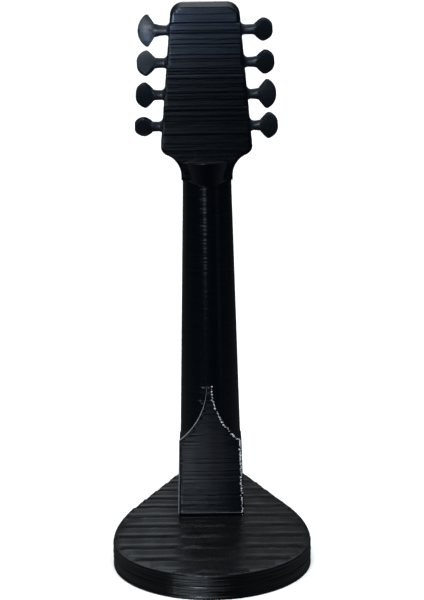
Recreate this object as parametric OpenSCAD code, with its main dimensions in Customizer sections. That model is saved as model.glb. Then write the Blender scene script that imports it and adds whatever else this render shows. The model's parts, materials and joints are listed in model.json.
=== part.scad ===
// Upright desk model of a bouzouki: its neck and headstock stand on a pear-shaped foot.
// The round back of the neck faces -Y and the fingerboard faces +Y.
// The origin is under the middle of the foot, on the surface that it stands on.

/* [Foot] */
// Width of the foot across its round end
foot_w = 80; // [70:1:110]
// Length of the foot from its round end to its narrow end
foot_len = 133; // [125:1:160]
// Radius of the foot's bowed sides
foot_side_r = 86.5; // [70:0.5:110]
// Radius of the foot's narrow end
foot_tip_r = 12; // [8:0.5:18]
// Thickness of the foot
foot_t = 10.3; // [9:0.1:16]
// Distance from the middle of the round end to the joint of neck and fingerboard
neck_set = 38.4; // [30:0.2:44]

/* [Neck] */
// Width of the neck where it stands on the foot
neck_w_foot = 26.8; // [25:0.2:34]
// Width of the neck where it meets the headstock
neck_w_head = 19.8; // [18:0.2:22]
// Length of the neck from the foot to the headstock
neck_len = 141.6; // [115:0.2:180]

/* [Heel] */
// How much wider than the neck the heel is, on each side
heel_flare = 0.3; // [0.2:0.1:1]
// Height of the panel's pointed tip above the foot
heel_h = 55.8; // [45:0.2:75]
// Width of the panel's tip
heel_tip_w = 2.7; // [2:0.1:5]
// Radius of the scooped shoulders on each side of the tip
heel_scoop_r = 28.6; // [22:0.2:40]
// How far the panel stands out from the round of the neck
heel_proud = 0.4; // [0.2:0.05:1]
// Width of the tenon under the heel
heel_tenon_w = 16; // [14:0.5:18]
// Front-to-back size of the tenon under the heel
heel_tenon_d = 9; // [8:0.5:10]
// Length of the tenon under the heel
heel_tenon_h = 3.5; // [2.5:0.5:4]

/* [Heel screws] */
// Shank diameter of the screws that hold the neck to the foot
screw_d = 4; // [3:0.5:4.5]
// Head diameter of the screws
screw_head_d = 7; // [6:0.5:8]
// Head height of the screws
screw_head_h = 2.2; // [1.8:0.1:2.5]
// Length of the screws under the head
screw_len = 20; // [14:1:30]
// Distance between the two screws
screw_pitch = 10; // [9:0.5:10.5]
// Width of the hexagon socket in a screw's head, across its corners
socket_w = 3.2; // [2.6:0.1:3.6]
// Depth of the hexagon socket
socket_h = 1.3; // [1:0.1:1.5]
// Foot material left above the screw heads
screw_seat_t = 2.2; // [1.6:0.1:2.5]

/* [Fingerboard] */
// Thickness of the fingerboard
board_t = 3; // [2.5:0.1:5]
// Number of frets
fret_count = 12; // [8:1:14]
// Height of the last fret above the foot
last_fret_h = 12; // [8:1:20]
// Width of a fret's round crown
fret_w = 1.6; // [1.2:0.1:2]
// Width of a fret's tang, the blade in the board
tang_w = 0.6; // [0.4:0.1:0.8]
// Depth of a fret's tang
tang_h = 1.2; // [0.8:0.1:1.6]
// How far a fret's ends stay in from the edges of the board
fret_inset = 0.4; // [0:0.1:1]
// Diameter of the position dots
dot_d = 3.4; // [2.4:0.2:4]
// Thickness of the position dots
dot_t = 1; // [0.6:0.1:1.6]

/* [Nut] */
// Thickness of the nut along the neck
nut_t = 3; // [2.4:0.1:4]
// Height of the nut above the fingerboard
nut_rise = 1.2; // [0.8:0.1:2]
// Distance between neighbouring pairs of string notches
course_pitch = 4.4; // [3.8:0.1:4.6]
// Distance between the two notches of a pair
pair_gap = 1.4; // [1.2:0.1:1.6]
// Diameter of a string notch
notch_d = 0.7; // [0.5:0.1:0.9]

/* [Headstock] */
// Backward lean of the headstock, in degrees
head_tilt = 12; // [8:0.5:16]
// Thickness of the headstock
head_t = 8; // [7.5:0.1:9]
// Width across the ears at the lower end
head_w_ear = 36.6; // [34:0.2:42]
// Width at the top end
head_w_top = 27.5; // [25:0.2:31]
// Radius of the round ears
ear_r = 4; // [3:0.2:5]
// Radius of the corners at the top end
corner_r = 5.6; // [3:0.2:6.4]
// Width of the stem that sits on the neck
stem_w = 20.8; // [20.4:0.2:24]
// Height above the joint where the scooped shoulders begin
shoulder_h = 4; // [3:0.2:5]
// Radius of the scooped shoulders between the stem and the ears
shoulder_r = 9.3; // [8:0.1:11]
// Height of the swelling behind the joint, up to its ledge
volute_h = 7.5; // [6:0.1:10]
// How far the swelling stands out behind the neck at the joint
volute_proud = 0.8; // [0.5:0.1:1.2]
// How much the swelling's radius grows from the joint up to its ledge
volute_growth = 2.4; // [1.8:0.1:3.2]
// Thickness of the ledge's edge
ledge_t = 0.3; // [0.2:0.1:1]
// Width of the tenon that joins the headstock to the neck
head_tenon_w = 9; // [8:0.5:10]
// Front-to-back size of that tenon
head_tenon_d = 4; // [3:0.5:4.5]
// Length of that tenon
head_tenon_h = 10; // [8:1:15]

/* [Tuners] */
// Height of the lowest row of tuners above the joint
tuner_first = 23.5; // [23:0.1:28]
// Distance between rows of tuners
tuner_pitch = 13.3; // [13.1:0.1:15]
// Distance from the top row of tuners to the end of the headstock
tuner_top = 10.4; // [9:0.1:14]
// Diameter of the tuner shafts
shaft_d = 3.5; // [2.6:0.1:3.7]
// Depth of a tuner shaft in the headstock
shaft_in = 7; // [6:0.2:7.6]
// Length of a tuner outside the headstock, in the lowest row
tuner_out = 11; // [9.8:0.1:13]
// How much further out each row stands than the row below it
tuner_step = 0.4; // [0:0.1:0.6]
// Width of a tuner's button, tip to tip
button_w = 12.5; // [10:0.1:12.7]
// Radius of a button's round tips
button_tip_r = 1.1; // [0.8:0.1:1.6]
// Distance from the middle of a button's tips to its outer end
button_crown = 3.6; // [2.6:0.1:4.4]
// Length of a button's flanks along the shaft
button_flank = 3.8; // [3.4:0.1:5]
// Thickness of a button at its middle
button_t = 3.8; // [3.6:0.1:5]
// Thickness of a button at its tips
button_edge_t = 1.4; // [1:0.1:2.2]

/* [String posts] */
// Diameter of a post's stem
post_d = 2.6; // [2.2:0.1:3]
// Diameter of a post's waist at its string hole
post_waist_d = 2; // [1.8:0.1:2.2]
// Diameter of a post's flange
post_flange_d = 5; // [4.2:0.1:5.6]
// Thickness of a post's flange
post_flange_t = 0.8; // [0.6:0.1:1.2]
// Height of a post above the headstock
post_h = 6.4; // [5.6:0.2:8]
// Depth of a post's pin in the headstock
post_in = 4; // [3:0.2:4.6]
// Diameter of the string hole through a post
post_hole_d = 0.9; // [0.6:0.1:1]

/* [Fits] */
// Radial clearance of the shafts that turn
turn_gap = 0.08; // [0.05:0.01:0.1]
// Radial clearance of round pieces that are set in holes
pin_gap = 0.05; // [0.02:0.01:0.1]
// Clearance on each side of tenons, tangs and screws
fit_gap = 0.1; // [0.05:0.05:0.2]
// Radial room around the screw heads
head_room = 0.3; // [0.2:0.05:0.5]

/* [Hidden] */
$fn = 64;
SIDES = [["left", -1], ["right", 1]];
ROWS = [1, 2, 3, 4];

// Turn of each button about its shaft from lying in the headstock's plane, top row first
LEFT_TURNS = [14, 62, -23, -37];
RIGHT_TURNS = [32, 28, 10, 19];
// Frets that have a position dot in the space above them
DOT_FRETS = [3, 5, 7, 10];

// How far one outline runs past another so that they cross and don't only touch
cross = 0.02;
// Length that clears any cut face
past = 1;
// Room beyond the blind end of a bore
end_room = 0.4;
// Share of the neck's half width that the swelling's axis lies behind the joint
volute_back = 0.15;
// How far the swelling runs down into the neck
volute_drop = 5;
// Share of the shaft's radius that is left where a button's flanks begin
root_share = 0.8;
// Share of a button's flank between its tips and its thickest point
lens_share = 0.33;

// Places on the foot
round_r = foot_w / 2;
round_y = round_r - foot_len / 2;
tip_y = foot_len / 2 - foot_tip_r;
joint_y = round_y + neck_set;
// The bowed sides are arcs about foot_side_x, and foot_taper is where they turn straight to the tip
foot_side_x = round_r - foot_side_r;
foot_taper = atan2(tip_y - round_y, -foot_side_x)
    - acos((foot_side_r - foot_tip_r) / norm([foot_side_x, tip_y - round_y]));
mortise_floor = foot_t - heel_tenon_h - end_room;
screw_seat_z = mortise_floor - screw_seat_t;

// The neck's back is half of a cone whose axis lies in the joint with the fingerboard
neck_r_foot = neck_w_foot / 2;
neck_r_head = neck_w_head / 2;
neck_top = foot_t + neck_len;
heel_lean = atan((neck_r_foot - neck_r_head) / neck_len);
heel_mid_y = joint_y - neck_r_foot / 2;

// The fingerboard runs from the foot to the nut, and fret spacing follows equal temperament
nut_z = neck_top - nut_t;
scale_len = (nut_z - foot_t - last_fret_h) / (1 - pow(2, -fret_count / 12));
board_y = joint_y + board_t;
function neck_w_at(z) = neck_w_foot + (neck_w_head - neck_w_foot) * (z - foot_t) / neck_len;
function fret_z(n) = nut_z - scale_len * (1 - pow(2, -n / 12));

// The headstock's own frame lies in its front face, with the joint at zero
head_len = tuner_first + (len(ROWS) - 1) * tuner_pitch + tuner_top;
ear_x = head_w_ear / 2 - ear_r;
corner_x = head_w_top / 2 - corner_r;
corner_h = head_len - corner_r;
// Each ear runs smoothly out of its scooped shoulder
shoulder_x = stem_w / 2 + shoulder_r;
ear_h = shoulder_h + sqrt(pow(shoulder_r + ear_r, 2) - pow(shoulder_x - ear_x, 2));
ear_root = [shoulder_x, shoulder_h]
    + shoulder_r / (shoulder_r + ear_r) * [ear_x - shoulder_x, ear_h - shoulder_h];
// Each straight side touches its ear and its top corner
side_angle = atan2(corner_h - ear_h, corner_x - ear_x)
    - acos((ear_r - corner_r) / norm([corner_x - ear_x, corner_h - ear_h]));
side_low = [ear_x, ear_h] + ear_r * [cos(side_angle), sin(side_angle)];
side_high = [corner_x, corner_h] + corner_r * [cos(side_angle), sin(side_angle)];
side_slope = (side_high[0] - side_low[0]) / (side_high[1] - side_low[1]);
// The swelling is a cone that comes out of the neck's back below the joint
volute_y = joint_y - neck_r_head * volute_back;
volute_r = neck_r_head * (1 - volute_back) + volute_proud;
volute_r_low = volute_r - volute_growth * volute_drop / (volute_h - ledge_t);
ledge_r = volute_r + volute_growth;
head_tenon_y = joint_y - head_t / 2;
function side_x(h) = side_low[0] + side_slope * (h - side_low[1]);
function row_h(row) = tuner_first + (len(ROWS) - row) * tuner_pitch;
function row_out(row) = (len(ROWS) - row) * tuner_step;
function turn(side, row) = side < 0 ? LEFT_TURNS[row - 1] : RIGHT_TURNS[row - 1];

// Tuner button: two straight flanks run from the shaft to round tips, and a round crown joins the tips
shaft_r = shaft_d / 2;
tip_x = tuner_out - button_crown;
tip_h = button_w / 2 - button_tip_r;
crown_r = (button_crown * button_crown + tip_h * tip_h - button_tip_r * button_tip_r)
    / (2 * (button_crown - button_tip_r));
crown_x = tuner_out - crown_r;
button_root = [tip_x - button_flank, shaft_r * root_share];
flank_angle = atan2(tip_h - button_root[1], button_flank)
    + asin(button_tip_r / norm([button_flank, tip_h - button_root[1]]));
flank_end = [tip_x, tip_h] + button_tip_r * [-sin(flank_angle), cos(flank_angle)];
button_mid = tip_x - button_flank * lens_share;
lens_drop = (button_t - button_edge_t) / 2;
lens_reach = norm([tip_x - button_mid, button_w / 2]);
lens_r = (lens_reach * lens_reach + lens_drop * lens_drop) / (2 * lens_drop);

// String posts stand behind the blind ends of the tuner bores
post_r = post_d / 2;
post_inset = shaft_in + end_room + post_r + pin_gap + past;

BLACK = [0.07, 0.07, 0.08];
STEEL = [0.55, 0.56, 0.58];

// Foot

module foot_outline() {
    side = [cos(foot_taper), sin(foot_taper)];
    side_end = [foot_side_x, round_y] + (foot_side_r - cross) * side;
    tip_end = [0, tip_y] + (foot_tip_r - cross) * side;
    translate([0, round_y]) circle(round_r);
    translate([0, tip_y]) circle(foot_tip_r);
    intersection() {
        translate([foot_side_x - cross, round_y]) circle(foot_side_r);
        translate([cross - foot_side_x, round_y]) circle(foot_side_r);
        translate([-foot_w, round_y]) square([2 * foot_w, foot_len]);
    }
    polygon([side_end, tip_end, [-tip_end[0], tip_end[1]], [-side_end[0], side_end[1]]]);
}

module at_screws(z) {
    for (side = [-1, 1])
        translate([side * screw_pitch / 2, heel_mid_y, z]) children();
}

module heel_tenon(gap, z, h) {
    w = heel_tenon_w + 2 * gap;
    d = heel_tenon_d + 2 * gap;
    translate([-w / 2, heel_mid_y - d / 2, z]) cube([w, d, h]);
}

module foot() {
    color(BLACK) difference() {
        linear_extrude(foot_t) foot_outline();
        heel_tenon(fit_gap, mortise_floor, foot_t);
        at_screws(-past) cylinder(d = screw_d + 2 * fit_gap, h = foot_t);
        at_screws(-past) cylinder(d = screw_head_d + 2 * head_room, h = screw_seat_z + past);
    }
}

module heel_screws() {
    color(STEEL) at_screws(screw_seat_z) difference() {
        union() {
            translate([0, 0, -screw_head_h]) cylinder(d = screw_head_d, h = screw_head_h);
            cylinder(d = screw_d, h = screw_len);
        }
        translate([0, 0, -screw_head_h - past])
            cylinder(d = socket_w, h = socket_h + past, $fn = 6);
    }
}

// Neck

module heel_panel_outline() {
    low = neck_w_at(0) / 2 + heel_flare;
    high = neck_w_at(foot_t + heel_h) / 2 + heel_flare;
    difference() {
        polygon([[-low, -foot_t], [low, -foot_t], [high, heel_h], [-high, heel_h]]);
        for (side = [-1, 1])
            translate([side * (heel_tip_w / 2 + heel_scoop_r), heel_h]) circle(heel_scoop_r);
    }
}

module heel_block() {
    translate([0, joint_y - neck_r_foot - heel_proud / cos(heel_lean), foot_t])
        rotate([90 - heel_lean, 0, 0])
            translate([0, 0, -neck_r_foot - heel_proud])
                linear_extrude(neck_r_foot + heel_proud) heel_panel_outline();
}

module neck_round() {
    translate([0, joint_y, foot_t]) cylinder(r1 = neck_r_foot, r2 = neck_r_head, h = neck_len);
}

module behind_joint() {
    translate([-neck_w_foot, joint_y - 2 * neck_w_foot, foot_t])
        cube([2 * neck_w_foot, 2 * neck_w_foot, neck_len]);
}

module volute() {
    translate([0, volute_y, neck_top]) rotate_extrude() polygon([
        [0, -volute_drop],
        [volute_r_low, -volute_drop],
        [ledge_r, volute_h - ledge_t],
        [ledge_r, volute_h],
        [0, volute_h]]);
}

module head_tenon(gap, room) {
    w = head_tenon_w + 2 * gap;
    d = head_tenon_d + 2 * gap;
    h = head_tenon_h + room;
    translate([-w / 2, head_tenon_y - d / 2, neck_top - h]) cube([w, d, h + room]);
}

module neck() {
    color(BLACK) difference() {
        union() {
            intersection() {
                union() {
                    neck_round();
                    heel_block();
                    volute();
                }
                behind_joint();
            }
            heel_tenon(0, foot_t - heel_tenon_h, heel_tenon_h + past);
        }
        head_tenon(fit_gap, end_room);
        at_screws(0) cylinder(d = screw_d + 2 * pin_gap, h = screw_seat_z + screw_len + end_room);
    }
}

// Fingerboard

module at_dots() {
    for (n = DOT_FRETS)
        if (n <= fret_count)
            translate([0, board_y, (fret_z(n) + fret_z(n - 1)) / 2]) rotate([90, 0, 0]) children();
}

module fret_blade(gap, w, above) {
    translate([-w / 2, board_y - tang_h - gap, -tang_w / 2 - gap])
        cube([w, tang_h + gap + above, tang_w + 2 * gap]);
}

module fingerboard() {
    color(BLACK) difference() {
        translate([0, board_y, 0]) rotate([90, 0, 0]) linear_extrude(board_t) polygon([
            [-neck_w_foot / 2, foot_t],
            [neck_w_foot / 2, foot_t],
            [neck_w_at(nut_z) / 2, nut_z],
            [-neck_w_at(nut_z) / 2, nut_z]]);
        for (n = [1:fret_count])
            translate([0, 0, fret_z(n)]) fret_blade(fit_gap / 2, neck_w_foot + past, past);
        translate([0, past, 0]) at_dots() cylinder(d = dot_d + 2 * pin_gap, h = dot_t + past);
    }
}

module position_dots() {
    color(BLACK) at_dots() cylinder(d = dot_d, h = dot_t);
}

module fret(n) {
    w = neck_w_at(fret_z(n)) - 2 * fret_inset;
    color(BLACK) translate([0, 0, fret_z(n)]) {
        intersection() {
            translate([-w / 2, board_y, 0]) rotate([0, 90, 0]) cylinder(d = fret_w, h = w);
            translate([-w, board_y, -fret_w]) cube([2 * w, fret_w, 2 * fret_w]);
        }
        fret_blade(0, w, 0);
    }
}

module nut() {
    w = neck_w_at(nut_z);
    crest = board_y + nut_rise;
    color(BLACK) difference() {
        translate([-w / 2, joint_y, nut_z]) cube([w, crest - joint_y, nut_t]);
        for (course = [-1.5:1.5], pair = [-0.5, 0.5])
            translate([course * course_pitch + pair * pair_gap, crest, nut_z - past])
                cylinder(d = notch_d, h = nut_t + 2 * past);
    }
}

// Headstock

module on_head() {
    translate([0, joint_y, neck_top]) rotate([head_tilt, 0, 0]) children();
}

module head_outline() {
    inset = [cross, 0];
    for (side = [-1, 1]) {
        translate([side * ear_x, ear_h]) circle(ear_r + cross);
        translate([side * corner_x, corner_h]) circle(corner_r);
        mirror([side < 0 ? 1 : 0, 0]) polygon([
            [-cross, ear_h],
            [ear_x, ear_h],
            side_low - inset,
            side_high - inset,
            [corner_x, head_len - cross],
            [-cross, head_len - cross]]);
    }
    difference() {
        polygon([
            [ear_x, ear_h + cross],
            ear_root,
            [ear_root[0], -head_t],
            [-ear_root[0], -head_t],
            [-ear_root[0], ear_root[1]],
            [-ear_x, ear_h + cross]]);
        for (side = [-1, 1]) {
            translate([side * shoulder_x, shoulder_h]) circle(shoulder_r);
            translate([side * (stem_w / 2 + head_w_ear / 2), shoulder_h - head_w_ear / 2])
                square(head_w_ear, center = true);
        }
    }
}

module above_joint() {
    translate([-head_w_ear, joint_y - 2 * head_len, neck_top])
        cube([2 * head_w_ear, 4 * head_len, 2 * head_len]);
}

module head_plate() {
    on_head() translate([-head_w_ear, -head_t, -head_len])
        cube([2 * head_w_ear, head_t + past, 3 * head_len]);
}

module headstock() {
    color(BLACK) difference() {
        union() {
            intersection() {
                on_head() rotate([90, 0, 0]) linear_extrude(neck_w_head) head_outline();
                above_joint();
                union() {
                    head_plate();
                    volute();
                }
            }
            head_tenon(0, 0);
        }
        for (s = SIDES, row = ROWS) {
            at_tuner(s[1], row) translate([-shaft_in - end_room, 0, 0]) rotate([0, 90, 0])
                cylinder(r = shaft_r + turn_gap, h = shaft_in + end_room + past);
            at_post(s[1], row) translate([0, 0, -post_in - end_room])
                cylinder(r = post_r + pin_gap, h = post_in + end_room + past);
        }
    }
}

// Tuners and string posts

module at_tuner(side, row) {
    on_head() translate([side * side_x(row_h(row)), -head_t / 2, row_h(row)])
        rotate([0, side < 0 ? 180 : 0, 0]) children();
}

module at_post(side, row) {
    on_head() translate([side * (side_x(row_h(row)) - post_inset), 0, row_h(row)])
        rotate([-90, 0, 0]) children();
}

module button_outline() {
    for (side = [-1, 1])
        translate([tip_x, side * tip_h]) circle(button_tip_r + cross);
    polygon([
        [button_root[0], -button_root[1]],
        [flank_end[0], -flank_end[1]],
        [tip_x - cross, -tip_h],
        [tip_x - cross, tip_h],
        flank_end,
        button_root]);
    translate([crown_x, 0]) intersection() {
        circle(crown_r);
        polygon([[0, 0], 2 * [tip_x - crown_x, -tip_h], 2 * [tip_x - crown_x, tip_h]]);
    }
}

module button() {
    intersection() {
        translate([0, 0, -button_t]) linear_extrude(2 * button_t) button_outline();
        translate([button_mid, 0, lens_r - button_t / 2]) sphere(lens_r);
        translate([button_mid, 0, button_t / 2 - lens_r]) sphere(lens_r);
    }
}

module tuner(side, row) {
    color(BLACK) at_tuner(side, row) translate([row_out(row), 0, 0])
        rotate([turn(side, row), 0, 0]) {
            translate([-shaft_in, 0, 0]) rotate([0, 90, 0])
                cylinder(r = shaft_r, h = shaft_in + button_mid);
            rotate([90, 0, 0]) button();
        }
}

module string_post(side, row) {
    hole_h = post_flange_t + (post_h - post_flange_t) / 2;
    color(BLACK) at_post(side, row) difference() {
        rotate_extrude() polygon([
            [0, -post_in],
            [post_r, -post_in],
            [post_r, 0],
            [post_flange_d / 2, 0],
            [post_flange_d / 2, post_flange_t],
            [post_r, post_flange_t],
            [post_waist_d / 2, hole_h],
            [post_r, post_h],
            [0, post_h]]);
        translate([0, 0, hole_h]) rotate([0, 90, 0])
            cylinder(d = post_hole_d, h = 2 * post_d, center = true);
    }
}

foot();
neck();
heel_screws();
fingerboard();
position_dots();
nut();
headstock();
for (n = [1:fret_count])
    fret(n);
for (s = SIDES, row = ROWS) {
    tuner(s[1], row);
    string_post(s[1], row);
}
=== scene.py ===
"""Looks for the upright desk model of a bouzouki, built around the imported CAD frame."""
import json
import math

import bmesh
import bpy
import numpy as np
from mathutils import Matrix, Vector

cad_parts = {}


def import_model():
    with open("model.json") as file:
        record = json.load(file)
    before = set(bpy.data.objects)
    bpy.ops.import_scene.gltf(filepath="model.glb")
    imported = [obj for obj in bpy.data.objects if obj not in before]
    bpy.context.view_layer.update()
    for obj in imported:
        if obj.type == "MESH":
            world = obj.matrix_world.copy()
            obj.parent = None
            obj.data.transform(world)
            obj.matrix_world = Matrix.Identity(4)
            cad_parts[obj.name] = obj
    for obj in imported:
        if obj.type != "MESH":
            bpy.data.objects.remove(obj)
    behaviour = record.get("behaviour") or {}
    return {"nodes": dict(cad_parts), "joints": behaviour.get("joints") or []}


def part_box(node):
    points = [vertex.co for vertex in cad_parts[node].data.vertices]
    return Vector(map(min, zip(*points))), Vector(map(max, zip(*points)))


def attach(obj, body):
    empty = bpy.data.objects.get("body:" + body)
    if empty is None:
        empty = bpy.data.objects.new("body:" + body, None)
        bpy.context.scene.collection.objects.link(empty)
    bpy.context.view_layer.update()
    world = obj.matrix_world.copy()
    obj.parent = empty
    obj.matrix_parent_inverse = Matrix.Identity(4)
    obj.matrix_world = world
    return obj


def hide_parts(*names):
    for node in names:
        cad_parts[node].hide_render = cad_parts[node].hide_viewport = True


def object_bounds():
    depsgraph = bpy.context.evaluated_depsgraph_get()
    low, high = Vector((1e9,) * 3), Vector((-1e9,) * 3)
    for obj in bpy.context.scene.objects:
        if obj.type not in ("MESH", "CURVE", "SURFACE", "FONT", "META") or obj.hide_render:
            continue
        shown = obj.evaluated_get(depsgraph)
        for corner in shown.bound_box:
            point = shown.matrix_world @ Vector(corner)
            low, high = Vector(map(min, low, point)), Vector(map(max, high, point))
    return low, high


MM = 0.001

# Sizes of the foot, neck, heel and headstock, the same as in part.scad, in millimetres and degrees
FOOT_R, FOOT_ROUND_Y, FOOT_T = 40, -26.5, 10.3
JOINT_Y, NECK_R, NECK_R_HEAD, NECK_LEN = 11.9, 13.4, 9.9, 141.6
HEEL_H, HEEL_TIP_W, SCOOP_R, HEEL_PROUD, HEEL_FLARE = 55.8, 2.7, 28.6, 0.4, 0.3
HEAD_T, HEAD_TILT, VOLUTE_H = 8, 12, 7.5
LEDGE_TOP = FOOT_T + NECK_LEN + VOLUTE_H

# Sizes of the tuners in millimetres, the same as in part.scad, and how many stand on each side
SHAFT_R, TUNER_OUT, TUNER_STEP, BUTTON_ROOT = 1.75, 11, 0.4, 3.6
TUNER_ROWS = 4

# How far a printed shaft swells, how wide it flares at the headstock, and how deep that flare is sunk
SHAFT_SWELL, SHAFT_FLARE, FLARE_SUNK = 0.25, 1.5, 0.2

# How wide a shaft flares into its button, over which length, and how far up the button's flank that reaches
BUTTON_FLARE, BUTTON_NECK, FLANK_REACH = 0.7, 2.4, 1.8

# Lengths in millimetres, from the button's root, over which the swelling, the flare and its slide fade
SWELL_FADE, NECK_FADE, SLIDE_FADE = 1.2, (1.5, 3), 0.8

# Shares of both flares' lengths at which a tuner is cut
FLARE_CUTS, NECK_CUTS = (0.12, 0.25, 0.4, 0.6, 0.8, 1.0), (0, 0.15, 0.3, 0.5)

# Camera from the fit of the photo's outline: place in metres, turns in degrees, focal length in pixels
CAMERA_PLACE = (-0.001186, -0.7265, 0.28563)
CAMERA_PITCH, CAMERA_YAW, CAMERA_ROLL = 14.114, 0.200, -0.740
FOCAL_PIXELS, PHOTO_HEIGHT, SENSOR = 1836.48, 600, 36

# Height of a printed layer, and the angle in degrees above which a printed edge is shaded sharp
LAYER, SHARP = 0.3 * MM, 38

# Seeds of the random steps of the layers, of the ridges and of the seam
LAYER_SEED, RIDGE_SEED, SEAM_SEED = 11, 5, 3

# Distances in metres within which points merge, or count as lying in a cut
MERGE, CUT_NEAR = 2e-7, 2e-6

# Angles in degrees below which faces count as flat, and above which an edge may be bevelled
FLAT, BEVELLED = 0.3, 40

# Distances in millimetres within which a point counts as lying in a plane or on a surface
PLANE_NEAR, SURFACE_NEAR = 0.05, 0.1

# Distances in millimetres from the panel's plane: for its bevelled edge, its layers and its bulge
EDGE_NEAR, LAYERS_NEAR, BULGE_NEAR = 0.06, 0.1, 0.6
PANEL_BULGE = 0.45

# How strongly the layers stand out on the panel, on the headstock's smooth parts and up the neck's round
PANEL_SHARE, HEAD_SMOOTH_SHARE = 1.1, 0.25
ROUND_HEIGHTS, ROUND_SHARES = (85, 110), (0.3, 0.8)

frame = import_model()
cad_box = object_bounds()


def camera():
    """Camera at the photo's viewing angle."""
    pitch, yaw, roll = (math.radians(a) for a in (CAMERA_PITCH, CAMERA_YAW, CAMERA_ROLL))
    forward = Vector((math.sin(yaw) * math.cos(pitch), math.cos(yaw) * math.cos(pitch), -math.sin(pitch)))
    right = Vector((math.cos(yaw), -math.sin(yaw), 0))
    up = right.cross(forward)
    across = math.cos(roll) * right + math.sin(roll) * up
    upright = math.cos(roll) * up - math.sin(roll) * right
    turn = Matrix((across, upright, -forward)).transposed().to_4x4()
    data = bpy.data.cameras.new("camera")
    data.sensor_width = SENSOR
    data.lens = FOCAL_PIXELS * SENSOR / PHOTO_HEIGHT
    data.clip_start = 0.01
    cam = bpy.data.objects.new("camera", data)
    cam.matrix_world = Matrix.Translation(Vector(CAMERA_PLACE)) @ turn
    bpy.context.scene.collection.objects.link(cam)
    bpy.context.scene.camera = cam


# Printed layers

def sliced(node, cuts, bevel, segments, rounded):
    """Copy of a node's mesh with rounded edges bevelled, cut along each axis at steps or at given places."""
    bm = bmesh.new()
    bm.from_mesh(frame["nodes"][node].data)
    bmesh.ops.remove_doubles(bm, verts=bm.verts, dist=MERGE)
    bmesh.ops.dissolve_limit(bm, angle_limit=math.radians(FLAT), verts=bm.verts, edges=bm.edges)
    if bevel:
        edges = [e for e in bm.edges
                 if len(e.link_faces) == 2 and e.calc_face_angle_signed(0) > math.radians(BEVELLED)
                 and all(rounded(v.co / MM) for v in e.verts)]
        bmesh.ops.bevel(bm, geom=edges, offset=bevel, segments=segments, profile=0.5, affect="EDGES",
                        clamp_overlap=False, loop_slide=True)
    for axis, cut in enumerate(cuts):
        if not isinstance(cut, list):
            along = [v.co[axis] for v in bm.verts]
            steps = range(math.ceil(min(along) / cut), math.floor(max(along) / cut) + 1) if cut else ()
            cut = [k * cut for k in steps]
        for spot in cut:
            place, normal = Vector((0, 0, 0)), Vector((0, 0, 0))
            place[axis], normal[axis] = spot, 1
            bmesh.ops.bisect_plane(bm, geom=bm.verts[:] + bm.edges[:] + bm.faces[:], dist=CUT_NEAR,
                                   plane_co=place, plane_no=normal)
    bmesh.ops.triangulate(bm, faces=bm.faces)
    mesh = bpy.data.meshes.new(node + "_print")
    bm.to_mesh(mesh)
    bm.free()
    return mesh


def get_points(mesh, normals=False):
    """Places of a mesh's vertices in metres, or their normals, one row each."""
    flat = np.empty(len(mesh.vertices) * 3)
    (mesh.vertex_normals if normals else mesh.vertices).foreach_get("vector" if normals else "co", flat)
    return flat.reshape(-1, 3)


def lattice(s):
    """Whole step below each value, and the share of the way to the next one, eased at both ends."""
    j = np.floor(s).astype(int)
    a = s - j
    return j, a * a * (3 - 2 * a)


def between(table, row, j, a):
    """Values in a table's rows, a share of the way from one column to the next."""
    return table[row, j] * (1 - a) + table[row, j + 1] * a


class Layers:
    """Random steps of the printed layers: of whole layers, of places along them, and of bands of layers."""
    # Layers in a band, and the lattice along a layer: its columns, their step and their slant
    BAND = 2
    COLUMNS, LATTICE, SLANT = 64, 5.0 * MM, 0.6
    # Degrees of freedom of the draws for whole layers and places, and the most that a draw may be
    WHOLE_FREEDOM, LOCAL_FREEDOM = 3.5, 4
    MOST, BAND_MOST = 2.2, 2

    def __init__(self, seed, height):
        rng = np.random.default_rng(seed)
        count = int(height / LAYER) + 4
        knots = np.arange(0, count + self.BAND, self.BAND)
        swings = rng.normal(0, 1, len(knots)).clip(-self.BAND_MOST, self.BAND_MOST)
        self.bands = np.interp(np.arange(count), knots, swings)[:, None]
        self.whole = rng.standard_t(self.WHOLE_FREEDOM, (count, 1)).clip(-self.MOST, self.MOST)
        self.local = rng.standard_t(self.LOCAL_FREEDOM, (count, self.COLUMNS)).clip(-self.MOST, self.MOST)

    def at(self, points, whole, local, bands):
        """Step of each point in metres, for the three kinds' sizes in millimetres."""
        j, a = lattice((points[:, 0] + self.SLANT * points[:, 1]) / self.LATTICE + self.COLUMNS // 2)
        level = points[:, 2] / LAYER
        k = np.floor(level + 1e-3).astype(int).clip(0)
        b = (level - k).clip(0, 1)
        table = self.whole * whole + self.local * local + self.bands * bands
        return (between(table, k, j, a) * (1 - b) + between(table, k + 1, j, a) * b) * MM


layers = Layers(LAYER_SEED, cad_box[1][2])


def printed(node, body, material, whole, local, bands=0.0, columns=0.0, rows=0.0, bevel=0.0, segments=2,
            rounded=None, amount=None, shape=None):
    """Printed copy of a node: level layers, singly and in bands, that stand out by random small steps."""
    mesh = sliced(node, (columns, rows, LAYER), bevel, segments, rounded)
    points, normals = get_points(mesh), get_points(mesh, True)
    steps = layers.at(points, whole, local, bands)
    if amount:
        steps *= amount(points / MM, normals)
    points[:, :2] += normals[:, :2] * steps[:, None]
    if shape:
        points = shape(points, normals)
    mesh.vertices.foreach_set("co", points.ravel())
    mesh.polygons.foreach_set("use_smooth", [True] * len(mesh.polygons))
    mesh.set_sharp_from_angle(angle=math.radians(SHARP))
    mesh.materials.append(material)
    mesh.update()
    obj = bpy.data.objects.new(node + "_print", mesh)
    bpy.context.scene.collection.objects.link(obj)
    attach(obj, body)
    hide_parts(node)
    return obj


def repaint(obj, material, chosen):
    """Second material on the chosen faces of a piece."""
    obj.data.materials.append(material)
    for face in obj.data.polygons:
        if chosen(face):
            face.material_index = 1


# Foot

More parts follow.
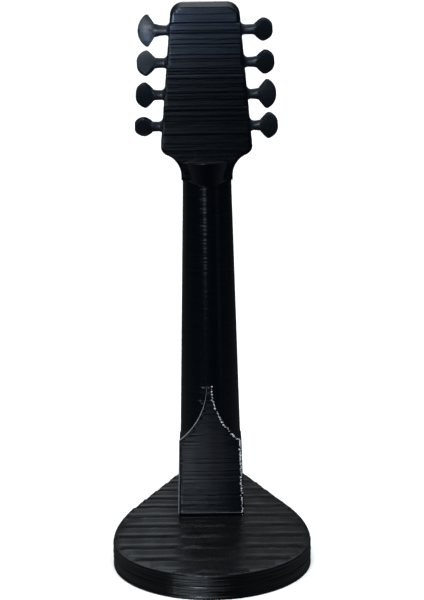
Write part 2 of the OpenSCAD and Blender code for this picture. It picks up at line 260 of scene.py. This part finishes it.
# Ridges across its top, in millimetres: place of one, spacing there, and how the spacing shrinks farther back
RIDGE_FIRST, RIDGE_PITCH, RIDGE_NARROWING = -14.7, 11.475, 0.173
RIDGES = range(-6, 9)

# Outline of one ridge: shares of its spacing from its steep far side, and heights there in millimetres
RIDGE_SHARES = (0.0, 0.055, 0.18, 0.55, 0.68)
RIDGE_HEIGHTS = (0.0, 0.54, 0.28, 0.28, 0.0)

# Share of the spacing between a corner and the cuts beside it, and how far the top is sunk in millimetres
RIDGE_CORNER, RIDGE_SUNK = 0.012, 0.05

# How far ridges sway in millimetres, by what share they swell, and the tables of both with their step
RIDGE_SWAY, RIDGE_SWELL = 0.16, 0.22
RIDGE_ROWS, RIDGE_COLUMNS, RIDGE_STEP = 64, 48, 4

# How much lower ridges are on the right and in the middle: places across in millimetres, and shares there
LOWER_RIGHT, LOWER_MIDDLE = ((-25, 35), (1.0, 0.45)), ((11, 17), (0.5, 1.0))

# Where ridges run out: places along the foot and distances from its round edge in millimetres, and shares
RUN_OUT_ALONG, RUN_OUT_EDGE = ((-10, 5), (1, 0)), ((0.5, 3.5), (1, 0))


def ridge_cuts():
    """Places along the foot, just before and after each corner of each ridge's outline."""
    cuts = []
    for ridge in RIDGES:
        for share in RIDGE_SHARES:
            for turn in (ridge - share - RIDGE_CORNER, ridge - share + RIDGE_CORNER):
                cuts.append((RIDGE_FIRST + RIDGE_PITCH * turn - RIDGE_NARROWING * turn ** 2) * MM)
    return sorted(cuts)


def foot_ridges(points, normals):
    """Ridges on the foot: a steep far side, and two slopes toward the viewer with a flat between them."""
    rng = np.random.default_rng(RIDGE_SEED)
    sway = rng.normal(0, RIDGE_SWAY, (RIDGE_ROWS, RIDGE_COLUMNS))
    swell = rng.normal(1, RIDGE_SWELL, (RIDGE_ROWS, RIDGE_COLUMNS)).clip(0.5, 1.5)
    x, y = points[:, 0] / MM, points[:, 1] / MM
    under = (RIDGE_PITCH ** 2 - 4 * RIDGE_NARROWING * (y - RIDGE_FIRST)).clip(0)
    turn = (RIDGE_PITCH - np.sqrt(under)) / (2 * RIDGE_NARROWING)
    ridge = np.ceil(turn)
    rise = np.interp(ridge - turn, RIDGE_SHARES + (1.0,), RIDGE_HEIGHTS + (0.0,))
    # Each ridge sways and swells a little along its length, and is lower on the right and in the middle
    j, a = lattice(x / RIDGE_STEP + RIDGE_COLUMNS // 2)
    row = (ridge.astype(int) + RIDGE_ROWS // 2).clip(0, RIDGE_ROWS - 1)
    rise *= between(swell, row, j, a)
    rise *= np.interp(x, *LOWER_RIGHT) * np.interp(np.abs(x), *LOWER_MIDDLE)
    # They run out before the round front edge
    inside = FOOT_R - np.hypot(x, y - FOOT_ROUND_Y)
    rise *= 1 - np.interp(y, *RUN_OUT_ALONG) * np.interp(inside, *RUN_OUT_EDGE)
    top = (normals[:, 2] > 0.7) & (points[:, 2] > (FOOT_T - SURFACE_NEAR) * MM)
    points[top, 1] += between(sway, row, j, a)[top] * MM
    points[top, 2] += (rise[top] - RIDGE_SUNK) * MM
    return points


def at_foot_edge(p):
    """Whether a point, in millimetres, lies in the plane of the foot's top."""
    return p[2] > FOOT_T - PLANE_NEAR


def on_rim(face):
    """Whether a face of the foot belongs to its upright rim."""
    return abs(face.normal.z) < 0.5 and face.center.z < FOOT_T * MM


# Headstock

def at_head_back(p):
    """Whether a point, in millimetres, lies in the plane of the headstock's back, above the ledge."""
    lean = math.radians(HEAD_TILT)
    y, z = p[1] - JOINT_Y, p[2] - FOOT_T - NECK_LEN
    return z > VOLUTE_H + 0.2 and abs(y * math.cos(lean) + z * math.sin(lean) + HEAD_T) < PLANE_NEAR


def head_amount(p, normals):
    """The swelling under the ledge is smoother than the slab, and so is the slab's front."""
    smooth = (p[:, 2] < LEDGE_TOP + 0.3) | (normals[:, 1] > 0.5)
    return np.where(smooth, HEAD_SMOOTH_SHARE, 1.0)


def on_swelling(face):
    """Whether a face of the headstock lies no higher than the swelling under the ledge."""
    return face.center.z < (LEDGE_TOP - SURFACE_NEAR) * MM


# Neck and heel

def neck_half(v):
    """Half the neck's width at a height above the foot, in millimetres."""
    return NECK_R - (NECK_R - NECK_R_HEAD) * v / NECK_LEN


def on_panel(u, v, behind=0.0):
    """Point of the heel's panel, in metres, from its own across and up, in millimetres."""
    lean = math.atan((NECK_R - NECK_R_HEAD) / NECK_LEN)
    back = JOINT_Y - NECK_R - HEEL_PROUD / math.cos(lean) + behind
    return Vector((u, back + v * math.sin(lean), FOOT_T + v * math.cos(lean))) * MM


def panel_y(z):
    """Where the plane of the heel's panel lies at a height, in millimetres."""
    return on_panel(0, z - FOOT_T)[1] / MM


def at_panel(p):
    """Whether a point, in millimetres, lies in the plane of the heel's panel."""
    return p[2] < FOOT_T + HEEL_H + 0.5 and abs(p[1] - panel_y(p[2])) < EDGE_NEAR


def near_panel(p, distance):
    """Which points, in millimetres, lie within a distance of the heel's panel."""
    plane = np.array([panel_y(z) for z in p[:, 2]])
    return (p[:, 2] < FOOT_T + HEEL_H) & (np.abs(p[:, 1] - plane) < distance)


def neck_amount(p, normals):
    """The layers stand out most on the heel's panel, and least on the lower part of the round."""
    return np.where(near_panel(p, LAYERS_NEAR), PANEL_SHARE, np.interp(p[:, 2], ROUND_HEIGHTS, ROUND_SHARES))


def panel_crown(points, normals):
    """The heel's panel bulges a little across its width."""
    p = points / MM
    edge = neck_half(p[:, 2] - FOOT_T)
    flat = near_panel(p, BULGE_NEAR)
    points[flat, 1] += PANEL_BULGE * MM * (p[flat, 0] / edge[flat]) ** 2
    return points


def panel_edge(side, step, out, behind):
    """Points down one edge of the panel: along its scooped shoulder from the tip, then straight down."""
    points = []
    turn = 0.0
    while True:
        u = HEEL_TIP_W / 2 + SCOOP_R * (1 - math.cos(turn))
        v = HEEL_H - SCOOP_R * math.sin(turn)
        if u >= neck_half(v) + HEEL_FLARE:
            break
        points.append(on_panel(side * (u + out * math.cos(turn)), v + out * math.sin(turn), behind))
        turn += step / SCOOP_R
    while v > 0.2:
        points.append(on_panel(side * (neck_half(v) + HEEL_FLARE + out), v, behind))
        v -= step
    return points


def dress(name, bm, material, body="stand"):
    """Smooth object from a finished bmesh, riding on a body."""
    mesh = bpy.data.meshes.new(name)
    bm.to_mesh(mesh)
    bm.free()
    mesh.polygons.foreach_set("use_smooth", [True] * len(mesh.polygons))
    mesh.materials.append(material)
    obj = bpy.data.objects.new(name, mesh)
    bpy.context.scene.collection.objects.link(obj)
    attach(obj, body)


def bead(name, points, radii, material, sides=8):
    """Round bead along a path, with its own radius in millimetres at each point and closed ends."""
    bm = bmesh.new()
    rings = []
    for i, (p, r) in enumerate(zip(points, radii)):
        along = (points[min(i + 1, len(points) - 1)] - points[max(i - 1, 0)]).normalized()
        across = along.cross(Vector((0, 1, 0))).normalized()
        out = across.cross(along)
        rings.append([bm.verts.new(p + r * MM * (math.cos(t) * across + math.sin(t) * out))
                      for t in (2 * math.pi * k / sides for k in range(sides))])
    for low, high in zip(rings, rings[1:]):
        for k in range(sides):
            bm.faces.new((low[k], low[(k + 1) % sides], high[(k + 1) % sides], high[k]))
    bm.faces.new(rings[0][::-1])
    bm.faces.new(rings[-1])
    bmesh.ops.recalc_face_normals(bm, faces=bm.faces)
    dress(name, bm, material)


# Left bead's radius at the tip, how it grows from point to point, and its most, in millimetres
BEAD_START, BEAD_GROWTH, BEAD_MOST = 0.03, 0.008, 0.22

# Faint line above the foot: half its length, its height, its depth and its radius, in millimetres
LINE_HALF, LINE_UP, LINE_DEPTH, LINE_R = 12.6, 1.2, 0.08, 0.14
LINE_POINTS = 40

# Blobs of the seam: how far they stray across, in depth and up, and their range of radii, in millimetres
SEAM_STRAY, SEAM_R = (0.13, 0.05, 0.2), (0.1, 0.44)


def heel_edges(clean, faint, rough):
    """A clean thin bead down the panel's left edge, a faint one above the foot, a rough seam on the right;
    their lighter greys are painted highlights.
    """
    points = panel_edge(-1, step=0.5, out=0.05, behind=0.45)
    radii = [min(BEAD_MOST, BEAD_START + BEAD_GROWTH * i) for i in range(len(points))]
    bead("heel_edge_left", points, radii, clean)
    points = [on_panel(u, LINE_UP, LINE_DEPTH) for u in np.linspace(-LINE_HALF, LINE_HALF, LINE_POINTS)]
    bead("heel_foot_line", points, [LINE_R] * len(points), faint)
    rng = np.random.default_rng(SEAM_SEED)
    blobs = bmesh.new()
    for p in panel_edge(1, step=0.6, out=-0.75, behind=0.12):
        p += Vector([rng.normal(0, stray) for stray in SEAM_STRAY]) * MM
        r = rng.uniform(*SEAM_R) * MM
        bmesh.ops.create_icosphere(blobs, subdivisions=2, radius=r, matrix=Matrix.Translation(p))
    dress("heel_seam_right", blobs, rough)


# Tuners

def shaft_face(side, row):
    """How far from the middle a tuner's shaft comes out of the headstock's side, in millimetres."""
    low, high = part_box(f"tuner_{side}_{row}")
    return max(-low[0], high[0]) / MM - TUNER_OUT - TUNER_STEP * (TUNER_ROWS - row)


def button_root(row):
    """How far outside the headstock's side a tuner's button begins, in millimetres."""
    return BUTTON_ROOT + TUNER_STEP * (TUNER_ROWS - row)


def shaft_cuts(side, row):
    """Places along a tuner where its shaft's outline bends."""
    face, root = shaft_face(side, row), button_root(row)
    spots = [-FLARE_SUNK - 0.01, -FLARE_SUNK + 0.01]
    spots += [SHAFT_FLARE * share - FLARE_SUNK for share in FLARE_CUTS]
    spots += [root - BUTTON_NECK * share for share in NECK_CUTS]
    return [(face + spot) * MM * (-1 if side == "left" else 1) for spot in spots]


def shaft_shape(side, row):
    """Shape for one tuner: its shaft swells a little, and flares into the headstock and the button."""
    face, root = shaft_face(side, row), button_root(row)
    middle = next(np.array(j["pos_m"][1:]) for j in frame["joints"] if j["child"] == f"tuner_{side}_{row}")

    def shape(points, normals):
        out = np.abs(points[:, 0]) / MM - face
        off = points[:, 1:] - middle
        r = np.linalg.norm(off, axis=1)
        on_shaft = (np.abs(r / MM - SHAFT_R) < SURFACE_NEAR) & (out > -FLARE_SUNK)
        bend = 1 - ((out + FLARE_SUNK) / SHAFT_FLARE).clip(0, 1)
        grow = SHAFT_SWELL + SHAFT_FLARE * (1 - np.sqrt(1 - bend ** 2))
        grow *= np.interp(out, (root, root + SWELL_FADE), (1, 0))
        # Into the button the flare runs along its plane only, and slides up its flanks
        tip = off[np.argmax(r)] / r.max()
        lean = off @ tip / r.clip(1e-6)
        neck = BUTTON_FLARE * (1 + (out - root) / BUTTON_NECK).clip(0, 1) ** 2 * lean ** 2
        neck *= np.interp(r / MM, (SHAFT_R, SHAFT_R + FLANK_REACH), (1, 0))
        neck *= np.interp(out - root, NECK_FADE, (1, 0))
        neck[(r / MM < SHAFT_R - SURFACE_NEAR) | (out < 0)] = 0
        points[on_shaft, 1:] += off[on_shaft] / r[on_shaft, None] * grow[on_shaft, None] * MM
        points[:, 1:] += (neck * np.sign(lean))[:, None] * tip * MM
        points[:, 0] += neck * np.interp(out, (root - SLIDE_FADE, root), (0, 1)) * np.sign(points[:, 0]) * MM
        return points

    return shape


# Materials

# Scales of the streaks along the layers and of the fine grain, for places in metres
STREAK_SCALE, GRAIN_SCALE = (90, 90, 3300), 1400

# Parts of the noise's range that the colour and the gloss run over, and the plastic's index of refraction
TINT_RANGE, GLOSS_RANGE, PLASTIC_IOR = (0.3, 0.72), (0.3, 0.7), 1.45


def add(nodes, kind, **values):
    """New shader node with some of its settings."""
    node = nodes.new(kind)
    for key, value in values.items():
        setattr(node, key, value)
    return node


def fill(node, **values):
    """Sets a node's inputs, with underscores for the spaces in their names."""
    for key, value in values.items():
        node.inputs[key.replace("_", " ")].default_value = value


def printed_plastic(name, color, roughness, streaks=0.35, grain=0.25, bump=0.006):
    """Plastic in layers: streaks along the layers and a fine grain in its colour, gloss and surface."""
    mat = bpy.data.materials.new(name)
    mat.use_nodes = True
    nodes, links = mat.node_tree.nodes, mat.node_tree.links
    shader = nodes["Principled BSDF"]
    fill(shader, IOR=PLASTIC_IOR)
    place = add(nodes, "ShaderNodeTexCoord")
    flat = add(nodes, "ShaderNodeMapping")
    fill(flat, Scale=STREAK_SCALE)
    links.new(place.outputs["Object"], flat.inputs["Vector"])
    streak = add(nodes, "ShaderNodeTexNoise")
    fill(streak, Scale=1, Detail=2)
    links.new(flat.outputs["Vector"], streak.inputs["Vector"])
    speck = add(nodes, "ShaderNodeTexNoise")
    fill(speck, Scale=GRAIN_SCALE, Detail=3)
    links.new(place.outputs["Object"], speck.inputs["Vector"])
    both = add(nodes, "ShaderNodeMix", data_type="FLOAT")
    both.inputs[0].default_value = grain
    links.new(streak.outputs["Fac"], both.inputs[2])
    links.new(speck.outputs["Fac"], both.inputs[3])
    tint = add(nodes, "ShaderNodeValToRGB")
    for stop, spot, share in zip(tint.color_ramp.elements, TINT_RANGE, (1 - streaks, 1 + streaks)):
        stop.position = spot
        stop.color = (*(c * share for c in color), 1)
    links.new(both.outputs[0], tint.inputs["Fac"])
    links.new(tint.outputs["Color"], shader.inputs["Base Color"])
    gloss = add(nodes, "ShaderNodeMapRange")
    fill(gloss, From_Min=GLOSS_RANGE[0], From_Max=GLOSS_RANGE[1],
         To_Min=roughness * (1 - 0.5 * streaks), To_Max=roughness * (1 + 0.5 * streaks))
    links.new(both.outputs[0], gloss.inputs["Value"])
    links.new(gloss.outputs["Result"], shader.inputs["Roughness"])
    relief = add(nodes, "ShaderNodeBump")
    fill(relief, Distance=bump * MM)
    links.new(both.outputs[0], relief.inputs["Height"])
    links.new(relief.outputs["Normal"], shader.inputs["Normal"])
    return mat


def steel(name):
    """Bare steel with fine turning marks."""
    mat = printed_plastic(name, (0.5, 0.5, 0.49), roughness=0.32, streaks=0.25, grain=0.6, bump=0.002)
    fill(mat.node_tree.nodes["Principled BSDF"], Metallic=1)
    return mat


# Stage and light

# Size of the floor and radius of the backdrop, in metres
FLOOR_SIZE, BACKDROP_R = 12, 5.8

# Room behind the part: how high on the unit sphere, and the level of light there
ROOM_STOPS = [(0.0, 0.03), (0.15, 0.034), (0.32, 0.036), (0.48, 0.16), (0.56, 1.0), (0.8, 1.05)]

# How blue the room is in its upper and lower half
COOL_HIGH, COOL_LOW = 0.12, 0.01

# Tints of the light above the viewer and of the light from below at the sides
VIEWER_TINT, BESIDE_TINT = (0.66, 0.98, 1.45), (0.9, 0.98, 1.1)


def stage():
    """Pale floor, and a pale round backdrop behind it for views from the side; neither changes the light."""
    bpy.ops.mesh.primitive_plane_add(size=FLOOR_SIZE, location=(0, 0, 0))
    floor = bpy.context.object
    floor.name = "floor"
    bpy.ops.mesh.primitive_uv_sphere_add(radius=BACKDROP_R, location=(0, 0, 0))
    backdrop = bpy.context.object
    backdrop.name = "backdrop"
    for obj, glow in ((floor, 0), (backdrop, 1)):
        obj.visible_glossy = False
        obj.visible_diffuse = False
        obj.visible_shadow = False
        mat = bpy.data.materials.new("pale_" + obj.name)
        mat.use_nodes = True
        fill(mat.node_tree.nodes["Principled BSDF"], Base_Color=(0.9, 0.9, 0.9, 1), Roughness=0.8,
             Emission_Color=(1, 1, 1, 1), Emission_Strength=glow)
        obj.data.materials.append(mat)


def world():
    """Soft room: light above and behind, dark in front below eye level, a little light low at the sides."""
    sky = bpy.data.worlds.new("studio")
    bpy.context.scene.world = sky
    sky.use_nodes = True
    nodes, links = sky.node_tree.nodes, sky.node_tree.links
    place = add(nodes, "ShaderNodeTexCoord")
    split = add(nodes, "ShaderNodeSeparateXYZ")
    links.new(place.outputs["Generated"], split.inputs[0])

    def ramp(socket, low, high, start, end):
        node = add(nodes, "ShaderNodeMapRange", interpolation_type="SMOOTHSTEP")
        fill(node, From_Min=low, From_Max=high, To_Min=start, To_Max=end)
        links.new(socket, node.inputs["Value"])
        return node.outputs["Result"]

    def join(kind, operation, a, b):
        node = add(nodes, kind, operation=operation)
        links.new(a, node.inputs[0])
        links.new(b, node.inputs[1])
        return node.outputs[0]

    def product(a, b):
        return join("ShaderNodeMath", "MULTIPLY", a, b)

    def total(a, b):
        return join("ShaderNodeVectorMath", "ADD", a, b)

    def tinted(socket, color):
        node = add(nodes, "ShaderNodeVectorMath", operation="SCALE")
        node.inputs[0].default_value = color
        links.new(socket, node.inputs["Scale"])
        return node.outputs[0]

    x, y, z = split.outputs["X"], split.outputs["Y"], split.outputs["Z"]
    # Far side of the room, a little lighter on the left
    high = add(nodes, "ShaderNodeValToRGB")
    links.new(z, high.inputs["Fac"])
    stops = high.color_ramp.elements
    stops[0].position, stops[1].position = ROOM_STOPS[0][0], ROOM_STOPS[-1][0]
    for spot, _ in ROOM_STOPS[1:-1]:
        stops.new(spot)
    for stop, (spot, level) in zip(stops, ROOM_STOPS):
        cool = COOL_HIGH if spot > 0.5 else COOL_LOW
        stop.color = (level * (1 - cool), level, level * (1 + cool), 1)
    back = add(nodes, "ShaderNodeVectorMath", operation="SCALE")
    links.new(high.outputs["Color"], back.inputs[0])
    shade = product(ramp(y, -0.5, 0.9, 0.12, 1.0), ramp(x, -0.06, 0.08, 0.98, 0.65))
    links.new(shade, back.inputs["Scale"])
    # Viewer's side above eye level, and light from below at the sides
    front = product(ramp(z, -0.06, 0.25, 0.0, 0.17), ramp(y, -0.9, 0.3, 1.0, 0.0))
    beside = product(product(x, x), ramp(z, -0.5, -0.15, 0.17, 0.01))
    whole = total(total(back.outputs[0], tinted(front, VIEWER_TINT)), tinted(beside, BESIDE_TINT))
    links.new(whole, nodes["Background"].inputs["Color"])


def sun(name, strength, angle, tilt):
    """Broad sun from above, tilted by some degrees, that leaves no glint."""
    data = bpy.data.lights.new(name, "SUN")
    data.energy = strength
    data.angle = math.radians(angle)
    lamp = bpy.data.objects.new(name, data)
    lamp.rotation_euler = (math.radians(tilt), 0, 0)
    lamp.visible_glossy = False
    bpy.context.scene.collection.objects.link(lamp)


def area(name, place, aim, size, radiance, color, spread=180):
    """Soft box at a place in metres that faces aim, unseen by the camera itself."""
    place, aim = Vector(place), Vector(aim)
    data = bpy.data.lights.new(name, "AREA")
    data.shape = "RECTANGLE"
    data.size, data.size_y = size
    data.energy = radiance * math.pi * size[0] * size[1]
    data.color = color
    data.spread = math.radians(spread)
    lamp = bpy.data.objects.new(name, data)
    turn = (aim - place).to_track_quat("-Z", "Y").to_matrix().to_4x4()
    lamp.matrix_world = Matrix.Translation(place) @ turn
    lamp.visible_camera = False
    bpy.context.scene.collection.objects.link(lamp)


# Distance of the far boxes from their aims, and where the near cards stand toward the viewer, in metres
FAR, NEAR_Y = 1.5, -0.12

# Aims of the far boxes, in metres
MIDDLE, LOW, NECK_MIDDLE = (0, 0, 0.11), (0, 0, 0.02), (0, 0, 0.13)

# Tints of the windows, of the cards for the neck, and of the cards on the side away from the viewer
WINDOW_TINT, NECK_TINT, FAR_SIDE_TINT = (0.78, 0.9, 1.0), (0.85, 0.94, 1.0), (0.9, 0.96, 1.05)


def far(name, azimuth, elevation, aim, size, radiance, color):
    """Soft box well off from aim, by degrees to the right of the viewer's side and above the level."""
    around, above = math.radians(azimuth), math.radians(elevation)
    way = Vector((math.sin(around) * math.cos(above), -math.cos(around) * math.cos(above), math.sin(above)))
    area(name, Vector(aim) + FAR * way, aim, size, radiance, color)


camera()
stage()
world()
sun("floor_light", strength=4, angle=60, tilt=12)
# Wide window low on the left, and a small one low near the middle
far("window", -29.5, -25, MIDDLE, (0.68, 0.16), 2.9, WINDOW_TINT)
far("low_window", -7, -27, MIDDLE, (0.15, 0.14), 3.5, WINDOW_TINT)
# Cards for the neck's bright line
for azimuth, elevation, level in ((-12, -5, 1.3), (-13, -8, 0.55), (-19, -11, 0.05)):
    far("neck_card", azimuth, elevation, NECK_MIDDLE, (0.3, 0.1), level, NECK_TINT)
# Wide dim card behind on the left, one for the headstock's upper end, and one on each side of the viewer
far("edge_card", -135, -6, NECK_MIDDLE, (1.2, 0.4), 0.03, (0.9, 0.95, 1.0))
area("end_card", (0, 0.25, 0.38), (0, 0, 0.225), (0.2, 0.15), 0.008, (0.82, 0.94, 1.15), spread=46)
far("right_card", 45, -10, MIDDLE, (0.4, 0.3), 0.05, NECK_TINT)
far("left_card", -27, 6, MIDDLE, (0.3, 0.5), 0.6, (0.7, 0.87, 1.0))
# Small lamp for the top left tuner
area("tuner_lamp", (-0.12, -0.25, 0.32), (-0.05, 0, 0.205), (0.1, 0.1), 0.32, (0.8, 0.9, 1.05), spread=46)
# Near cards of three widths for the foot's rim
for width, level in ((0.028, 0.18), (0.05, 0.16), (0.08, 0.11)):
    area("rim_card", (-0.036, NEAR_Y, -0.036), (-0.008, -0.058, 0.002), (width, 0.02), level, WINDOW_TINT,
         spread=60)
# Near cards below the headstock, that fade to the right and downward, at places in millimetres
for across, height, level in ((-50, 176, 1.19), (-30, 176, 0.86), (-30, 156, 0.13), (-10, 156, 0.036),
                              (12, 176, 0.07), (12, 156, 0.028)):
    area("head_card", (across * MM, NEAR_Y, height * MM), (0.3 * across * MM, -0.008, (height + 62) * MM),
         (0.024, 0.024), level, (0.55, 0.8, 1.25), spread=46)
# Near cards in front of the heel, that fade to the right, at places in millimetres
for across, height, level in ((-25, 0, 0.167), (-9, 0, 0.088), (7, 0, 0.044), (23, 0, 0.027),
                              (-9, 21, 0.062), (7, 21, 0.035)):
    area("heel_card", (across * MM, NEAR_Y, height * MM), (across * MM, 0, (height + 4) * MM),
         (0.016, 0.024 - 0.4 * height * MM), level, (0.85, 0.92, 1.05), spread=50)
# Cards for the side that faces away from the viewer: fingerboard and headstock
area("board_card", (0, 0.3, 0.03), (0, 0, 0.14), (0.1, 0.15), 0.09, FAR_SIDE_TINT, spread=50)
area("posts_card", (0, 0.25, 0.26), (0, 0, 0.2), (0.1, 0.1), 0.12, FAR_SIDE_TINT, spread=44)
# High cards that the heel's panel shows by way of the foot's top
for azimuth, elevation, size, level in ((-16, 11.5, (0.22, 0.26), 27), (-8, 12.5, (0.2, 0.2), 12),
                                        (-1, 14, (0.18, 0.13), 9), (6, 14, (0.18, 0.13), 1)):
    far("high_card", azimuth, elevation, LOW, size, level, (0.85, 0.93, 1.0))
bpy.context.scene.view_settings.view_transform = "Standard"

# Materials of the nodes and pieces
BLACK, FOOT_BLACK, TUNER_BLACK = (0.0012, 0.0022, 0.0038), (0.0025, 0.0025, 0.0027), (0.0092, 0.013, 0.0172)
# Greys of the heel's beads and seam: painted highlights, lighter than the black plastic around them
EDGE_HIGHLIGHT_GREY, LINE_HIGHLIGHT_GREY, SEAM_GLINT_GREY = (0.2, 0.205, 0.21), (0.05, 0.052, 0.055), (0.55, 0.56, 0.58)
neck_plastic = printed_plastic("neck_black", BLACK, roughness=0.13)
head_plastic = printed_plastic("headstock_black", BLACK, roughness=0.2)
foot_plastic = printed_plastic("foot_black", FOOT_BLACK, roughness=0.26)
rim_plastic = printed_plastic("rim_black", FOOT_BLACK, roughness=0.19)
board_plastic = printed_plastic("board_black", BLACK, roughness=0.3)
fret_plastic = printed_plastic("fret_black", BLACK, roughness=0.22, streaks=0.2, grain=0.5)
tuner_plastic = printed_plastic("tuner_black", TUNER_BLACK, roughness=0.34, streaks=0.3, grain=0.4)
# Painted highlight: light grey for the glint along the left corner of the heel's panel
edge_highlight_plastic = printed_plastic("edge_painted_highlight", EDGE_HIGHLIGHT_GREY, roughness=0.3, streaks=0.5, grain=0.8)
# Painted highlight: dim grey for the faint light line along the heel just above the foot
line_highlight_plastic = printed_plastic("line_painted_highlight", LINE_HIGHLIGHT_GREY, roughness=0.4, streaks=0.5, grain=0.8)
# The seam's blobs are real shape; their light grey with strong streaks and grain is painted glints
seam_glint_plastic = printed_plastic("seam_painted_glint", SEAM_GLINT_GREY, roughness=0.25, streaks=0.9, grain=0.95)
screw_steel = steel("screw_steel")
by_kind = {"heel": screw_steel, "tuner": tuner_plastic, "fret": fret_plastic, "string": fret_plastic,
           "position": fret_plastic}
for name, obj in frame["nodes"].items():
    obj.data.materials.clear()
    obj.data.materials.append(by_kind.get(name.split("_")[0], board_plastic))

# Printed pieces, with the sizes of their layers' steps in millimetres
head = printed("headstock", "stand", head_plastic, whole=0.012, local=0.008, bands=0.034, columns=1.5 * MM,
               bevel=0.3 * MM, segments=1, rounded=at_head_back, amount=head_amount)
repaint(head, neck_plastic, on_swelling)
printed("neck", "stand", neck_plastic, whole=0.006, local=0.005, bands=0.014, columns=1.5 * MM,
        bevel=0.45 * MM, rounded=at_panel, amount=neck_amount, shape=panel_crown)
foot = printed("foot", "stand", foot_plastic, whole=0.035, local=0.018, bands=0.085, columns=2 * MM,
               rows=ridge_cuts(), bevel=0.3 * MM, rounded=at_foot_edge, shape=foot_ridges)
repaint(foot, rim_plastic, on_rim)
printed("fingerboard", "stand", board_plastic, whole=0.006, local=0.006, columns=4 * MM)
printed("nut", "stand", board_plastic, whole=0.006, local=0.006)
heel_edges(edge_highlight_plastic, line_highlight_plastic, seam_glint_plastic)
for side in ("left", "right"):
    for row in range(1, TUNER_ROWS + 1):
        name = f"tuner_{side}_{row}"
        printed(name, name, tuner_plastic, whole=0.008, local=0.008, columns=shaft_cuts(side, row),
                shape=shaft_shape(side, row))
